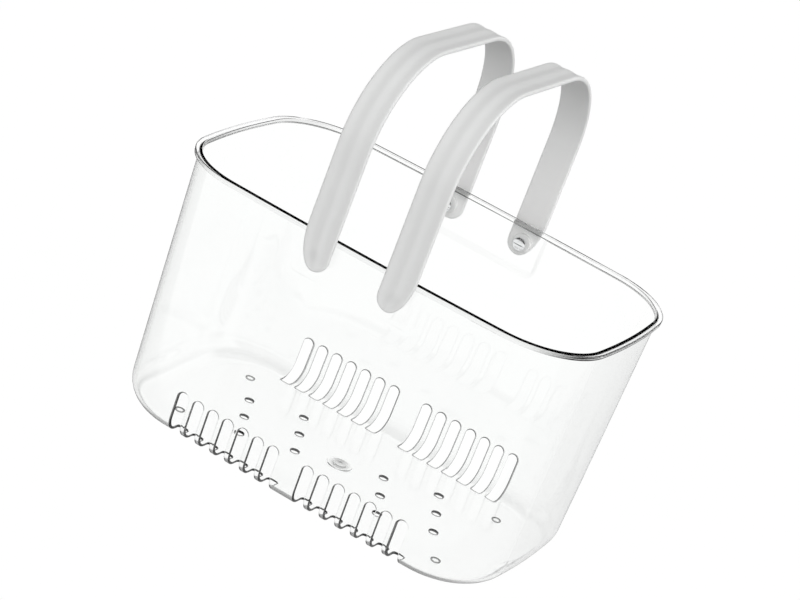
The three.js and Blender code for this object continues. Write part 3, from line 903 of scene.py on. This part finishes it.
def make_screw(hand, x_side, end, y_side, material):
    """A slotted pivot screw: a low domed head with a rounded rim and a plain shank, turned about Y."""
    seat = SCREW_LOW[1] + HEAD_HEIGHT
    crown = HEAD_HEIGHT - HEAD_EDGE
    dome = circle_arc((0.0, 0.0), 1.0, 270.0, DOME_END, DOME_STEPS) * (HEAD_RADIUS, crown)
    dome += (0.0, seat - HEAD_EDGE)
    dome[0, 0] = 0.0
    profile = np.vstack([
        dome,
        [[HEAD_RADIUS, seat - HEAD_SIDE], [HEAD_RADIUS, seat]],
        [[SHANK_RADIUS, seat], [SHANK_RADIUS, SCREW_HIGH[1]], [0.0, SCREW_HIGH[1]]],
    ])
    x = x_side * PIVOT_X
    screw = new_object(f"screw_{hand}_{end}", [revolve(profile * (1.0, y_side), x, 0.0, PIVOT_Z, "Y")])
    corners = np.array([[i, j, k] for i in (-1.0, 1.0) for j in (-1.0, 1.0) for k in (-1.0, 1.0)])
    size = np.array([2.0 * HEAD_RADIUS, DRIVER_SLOT_DEPTH, 0.5 * DRIVER_SLOT_WIDTH])
    place = np.array([x, y_side * SCREW_LOW[1], PIVOT_Z])
    quads = np.array([[0, 1, 3, 2], [4, 6, 7, 5], [0, 4, 5, 1], [2, 3, 7, 6], [0, 2, 6, 4], [1, 5, 7, 3]])
    carve(screw, new_object("driver_slot", [(place + corners * size, quads)]), "DIFFERENCE")
    finish_piece(screw, material, f"{hand}_handle", f"pivot_screw_{hand}_{end}")


def slot_reach(x, y, z):
    """Distance from the middle line of the nearest drain slot, round its two end curves: a circle's on the
    wall and a squarish superellipse's on the floor. The line lies a little to the left on the front wall and
    to the right on the back wall, and most so in the outermost slots, as light is led along the wall."""
    count = (abs(x) - SLOT_FIRST_X) * (1.0 / SLOT_PITCH)
    nearest = count.rounded().at_least(0.0).at_most(SLOTS_PER_GROUP - 1.0)
    outermost = (nearest - (SLOTS_PER_GROUP - 2.0)).at_least(0.0)
    lean = y.sign() * (SLOT_LEAN + OUTER_SLOT_LEAN * outermost)
    across = abs(x.sign() * (abs(x) - SLOT_FIRST_X - nearest * SLOT_PITCH) - lean)
    above = (z - (SLOT_TOP_Z - SLOT_HALF_WIDTH)).at_least(0.0)
    inward = (SLOT_END_Y + SLOT_HALF_WIDTH - abs(y)).at_least(0.0)
    power = SLOT_FLOOR_POWER
    on_floor = (across ** power + inward ** power) ** (1.0 / power)
    return on_floor.at_least(across.hypotenuse(above))


def hole_reach(x, y):
    """Distance from the nearest drain hole's axis. The place is split into steps along a block's rows and
    columns, which are rounded to whole steps and held inside the block."""
    from_block = x - HOLE_BLOCK_X * x.sign()
    (row_x, row_y), (column_x, column_y) = np.linalg.inv(np.column_stack([HOLE_ROW, HOLE_COLUMN])).tolist()
    row = row_x * from_block + row_y * y
    column = column_x * from_block + column_y * y
    row = 0.5 * row.sign()
    column = column.rounded().at_least(-1.0).at_most(1.0)
    off_x = from_block - row * float(HOLE_ROW[0]) - column * float(HOLE_COLUMN[0])
    off_y = y - row * float(HOLE_ROW[1]) - column * float(HOLE_COLUMN[1])
    return off_x.hypotenuse(off_y)


def pivot_reach(x, z):
    """Distance from the nearer pivot axis, at right angles to it."""
    return (abs(x) - PIVOT_X).hypotenuse(z - PIVOT_Z)


def slot_painted_shade(shading, x, y, z):
    """Share of painted shade on the cut edges of the slots, less on the back wall."""
    cut = shading.fall(slot_reach(x, y, z), SLOT_SHADE_START, SLOT_SHADE_END)
    return cut * shading.ramp(y, *FRONT_TO_BACK, *SLOT_PAINTED_SHADE)


def hole_painted_shade(shading, x, y, z):
    """Share of painted shade on the walls and edges of the drain holes."""
    return shading.fall(hole_reach(x, y), *HOLE_SHADE_REACH) * shading.fall(z, *HOLE_SHADE_TOP)


def edge_painted_shade(shading, outward, z, far):
    """Share of painted shade round the thick lower edge, less on the far side."""
    edge = shading.rise(outward, *EDGE_REACH) * shading.fall(z, *EDGE_TOP)
    return EDGE_PAINTED_SHADE * edge * shading.ramp(far, *FRONT_TO_BACK, 1.0, EDGE_FAR_SHARE)


def foot_painted_shade(shading, x, y, z):
    """Share of painted shade on each foot, most in a ring by its rounded edge."""
    foot_x, foot_y = FOOT_PLACE
    reach = (abs(x) - foot_x).hypotenuse(abs(y) - foot_y)
    ring = shading.ramp(reach, *FOOT_RING_START, FOOT_MIDDLE_SHADE, 1.0)
    ring = ring * shading.fall(reach, *FOOT_RING_END)
    return ring * shading.fall(z, *FOOT_SHADE_TOP)


def bead_painted_shade(shading, x, y, down, far):
    """Share of painted shade on the lower half of the rim bead: full at the ends, faint along the front,
    none along the back, and less on the far side."""
    bead = shading.rise(down, *BEAD_SHADE_START) * shading.fall(down, *BEAD_SHADE_END)
    along_front = shading.ramp(y, *FRONT_TO_BACK, BEAD_FRONT_SHADE, 0.0)
    bead = bead * shading.ramp(abs(x), *BEAD_END_X, along_front, 1.0)
    return bead * shading.ramp(far, *BEAD_FAR, 1.0, BEAD_FAR_SHARE)


def clear_plastic():
    """Clear moulded plastic: full transmission, a polish that varies a little, and faint flow waves. Painted
    shade darkens its colour on cut edges, round the thick lower edge, on the rim bead, on the feet and at
    the gate, and the floor is a little duller. The flat of the rim mirrors almost nothing, as it leads the
    light down into the wall. The walls let all light through to other surfaces, and the thick rim shades
    them."""
    material, shading = new_shading("clear_plastic")
    place = shading.place()
    x, y, z = shading.parts(place)
    outward = (abs(x) - CORNER_X).at_least(0.0).hypotenuse((abs(y) - CORNER_Y).at_least(0.0))
    down = (z - RIM_Z) * (-1.0 / RIM_HEIGHT)
    far = y - shading.ramp(x, *FAR_LINE_X, *FAR_LINE_Y)
    cloud = shading.noise(place, PLASTIC_CLOUDS, 3.0)
    waves = shading.noise(place, FLOW_WAVES, 1.0)

    cut = slot_painted_shade(shading, x, y, z)
    floor = shading.fall(outward, *FLOOR_REACH) * shading.fall(z, *FLOOR_TOP)
    gate = GATE_PAINTED_SHADE * shading.fall(x.hypotenuse(y), GATE_RADIUS, GATE_RING_RADIUS)
    # Painted shade: the colour goes toward black on the slots' cut edges, the holes, the gate, the thick
    # lower edge, the feet and the rim bead
    painted_shade = cut.at_least(hole_painted_shade(shading, x, y, z)).at_least(gate)
    painted_shade = painted_shade.at_least(edge_painted_shade(shading, outward, z, far)).at_least(foot_painted_shade(shading, x, y, z))
    painted_shade = painted_shade.at_least(bead_painted_shade(shading, x, y, down, far))
    clear = shading.tint(cloud * (1.0 - floor) + floor, *PLASTIC_TINTS)
    surface = shading.add("ShaderNodeBsdfPrincipled", None, {
        "Base Color": shading.tint(painted_shade, clear, BLACK),
        "Roughness": POLISH + CLOUD_DULLING * cloud + CUT_DULLING * cut + FLOOR_DULLING * floor,
        "Transmission Weight": 1.0,
        "IOR": PLASTIC_IOR,
        "Normal": shading.bump(waves, FLOW_STRENGTH, FLOW_DEPTH),
    })
    leading = shading.add("ShaderNodeBsdfRefraction", None, {"Roughness": RIM_POLISH, "IOR": PLASTIC_IOR})
    moulded = shading.blend(shading.ramp(z, *RIM_LEADING_Z, 0.0, RIM_LEADING), surface, leading)
    at_rim = shading.fall(down, *RIM_SHADE_END)
    shaded = shading.blend(at_rim, shading.open_way(1.0), shading.open_way(RIM_SHADE))
    shading.cover(shading.blend(shading.rays("Is Diffuse Ray", "Is Shadow Ray"), moulded, shaded))
    return material


def white_plastic():
    """Satin white moulded plastic: fine grain in its gloss and surface, broad faint clouds in its colour.
    Painted light makes it whiter on the inner faces of the legs, and a faint painted shade darkens it
    outside over each pivot, as of a sink mark where the plastic is thicker."""
    material, shading = new_shading("white_plastic")
    place = shading.place()
    x, y, z = shading.parts(place)
    inside = shading.fall(abs(y), *INNER_FACE_Y)
    # Painted light: a whiter colour on the inner faces of the legs
    painted_light = inside * shading.fall(z, *INSIDE_LIGHT_Z)
    # Painted shade: a faint darker spot outside over each pivot, as of a sink mark
    sink_shade = (1.0 - inside) * shading.ramp(pivot_reach(x, z), *PIVOT_SHADE_REACH, PIVOT_PAINTED_SHADE, 0.0)
    cloud = shading.noise(place, WHITE_CLOUDS, 3.0)
    grain = shading.noise(place, WHITE_GRAIN, 2.0)
    plain = shading.tint(cloud, *WHITE_TINTS)
    shading.cover(shading.add("ShaderNodeBsdfPrincipled", None, {
        "Base Color": shading.tint(sink_shade, shading.tint(painted_light, plain, INSIDE_PAINTED_LIGHT), BLACK),
        "Roughness": SATIN + GRAIN_DULLING * grain,
        "IOR": WHITE_IOR,
        "Normal": shading.bump(grain, GRAIN_STRENGTH, GRAIN_DEPTH),
    }))
    return material


def bright_steel():
    """Turned bright steel: fine rings round each screw's axis, in the gloss and in the surface."""
    material, shading = new_shading("bright_steel")
    place = shading.place()
    x, _, z = shading.parts(place)
    rings = (pivot_reach(x, z) * (2.0 * math.pi / TURNING_PITCH)).sine()
    cloud = shading.noise(place, STEEL_CLOUDS, 2.0)
    shading.cover(shading.add("ShaderNodeBsdfPrincipled", None, {
        "Base Color": shading.tint(cloud, *STEEL_TINTS),
        "Metallic": 1.0,
        "Roughness": STEEL_POLISH + TURNING_DULLING * rings + STEEL_CLOUD_DULLING * cloud,
        "Normal": shading.bump(rings, TURNING_STRENGTH, TURNING_DEPTH),
    }))
    return material


def studio_floor():
    """A white floor that keeps a faint shadow. Through the plastic it is as white, and mirrored it has a
    painted grey shade under and behind the tub, darker on the left. From below it is clear."""
    material, shading = new_shading("studio_floor")
    x, y, _ = shading.parts(shading.place())
    camera, through = shading.rays("Is Camera Ray"), shading.rays("Is Transmission Ray")
    bounced = shading.rays("Is Glossy Ray", "Is Transmission Ray")
    in_front = shading.ramp(y, *MIRRORED_FRONT_Y, MIRRORED_FRONT, 0.0)
    # Painted shade: mirrored, the floor is grey under and behind the tub, darker on the left
    mirrored = shading.ramp(x, *MIRRORED_FLOOR_X, *MIRRORED_FLOOR_SHADE).at_least(in_front)
    shown = shading.glow(mirrored + (THROUGH_WHITE - mirrored) * through)
    paper = shading.add("ShaderNodeBsdfDiffuse", None, {"Color": (*FLOOR_PAPER, 1.0)})
    seen = shading.blend(FLOOR_SHOWN * camera, paper, shading.glow((*WHITE, 1.0), FLOOR_WHITE))
    from_below = shading.add("ShaderNodeNewGeometry", output="Backfacing")
    shading.cover(shading.blend(from_below, shading.blend(bounced, seen, shown), shading.open_way(1.0)))
    corners = np.array([[-1.0, -1.0, 0.0], [1.0, -1.0, 0.0], [1.0, 1.0, 0.0], [-1.0, 1.0, 0.0]])
    floor = new_object("floor", [(FLOOR_HALF_SIZE * corners, np.array([[0, 1, 2, 3]]))])
    floor.data.materials.append(material)


def studio_light():
    """A white tent with a soft key light high in front and a soft light on the right. The plastic and the
    metal mirror the tent, its dark top and the dark room in front of it."""
    world = bpy.data.worlds.new("studio")
    world.use_nodes = True
    shading = Shading(world.node_tree)
    way = shading.add("ShaderNodeTexCoord", output="Generated")
    _, across, height = shading.parts(way)
    below_top = shading.ramp(height, *TENT_TOP_Z, 1.0, TENT_TOP_LIGHT)
    in_front = shading.fall(across, *DARK_ROOM_Y) * shading.rise(height, *DARK_ROOM_Z)
    mirrored = below_top * (1.0 - DARK_ROOM * in_front)
    key = shading.lobe(way, (0.0, -math.cos(KEY_HEIGHT), math.sin(KEY_HEIGHT)), *KEY_SPREAD)
    side = shading.lobe(way, (math.cos(SIDE_HEIGHT), 0.0, math.sin(SIDE_HEIGHT)), *SIDE_SPREAD)
    gathered = TENT_LIGHT + KEY_LIGHT * key + SIDE_LIGHT * side
    camera, through = shading.rays("Is Camera Ray"), shading.rays("Is Transmission Ray")
    bounced = shading.rays("Is Glossy Ray", "Is Transmission Ray")
    shown = mirrored * (1.0 + (THROUGH_WHITE - 1.0) * through)
    light = camera + (1.0 - camera) * (bounced * shown + (1.0 - bounced) * gathered)
    sky = shading.add("ShaderNodeBackground", None, {"Color": (*WHITE, 1.0), "Strength": light})
    shading.add("ShaderNodeOutputWorld", None, {"Surface": sky})
    bpy.context.scene.world = world


def place_camera():
    """The camera on a ball round its target, turned about its own line of sight by the roll."""
    level = np.array([math.cos(CAMERA_AZIMUTH), math.sin(CAMERA_AZIMUTH), 0.0])
    back = np.array([
        math.sin(CAMERA_AZIMUTH) * math.cos(CAMERA_ELEVATION),
        -math.cos(CAMERA_AZIMUTH) * math.cos(CAMERA_ELEVATION),
        math.sin(CAMERA_ELEVATION),
    ])
    up = np.cross(back, level)
    right = level * math.cos(CAMERA_ROLL) + up * math.sin(CAMERA_ROLL)
    upward = up * math.cos(CAMERA_ROLL) - level * math.sin(CAMERA_ROLL)
    turned = np.eye(4)
    turned[:3] = np.column_stack([right, upward, back, CAMERA_TARGET + CAMERA_DISTANCE * back])
    data = bpy.data.cameras.new("camera")
    data.lens = CAMERA_LENS
    camera = bpy.data.objects.new("camera", data)
    camera.matrix_world = Matrix(turned.tolist())
    bpy.context.scene.collection.objects.link(camera)
    bpy.context.scene.camera = camera


def main():
    """Sets up the studio and makes the seven pieces."""
    place_camera()
    studio_light()
    studio_floor()
    make_tub(clear_plastic())
    white, steel = white_plastic(), bright_steel()
    for hand, x_side in (("left", -1.0), ("right", 1.0)):
        make_handle(hand, x_side, white)
        for end, y_side in (("front", -1.0), ("back", 1.0)):
            make_screw(hand, x_side, end, y_side, steel)
    bpy.context.scene.view_settings.view_transform = "Standard"


main()
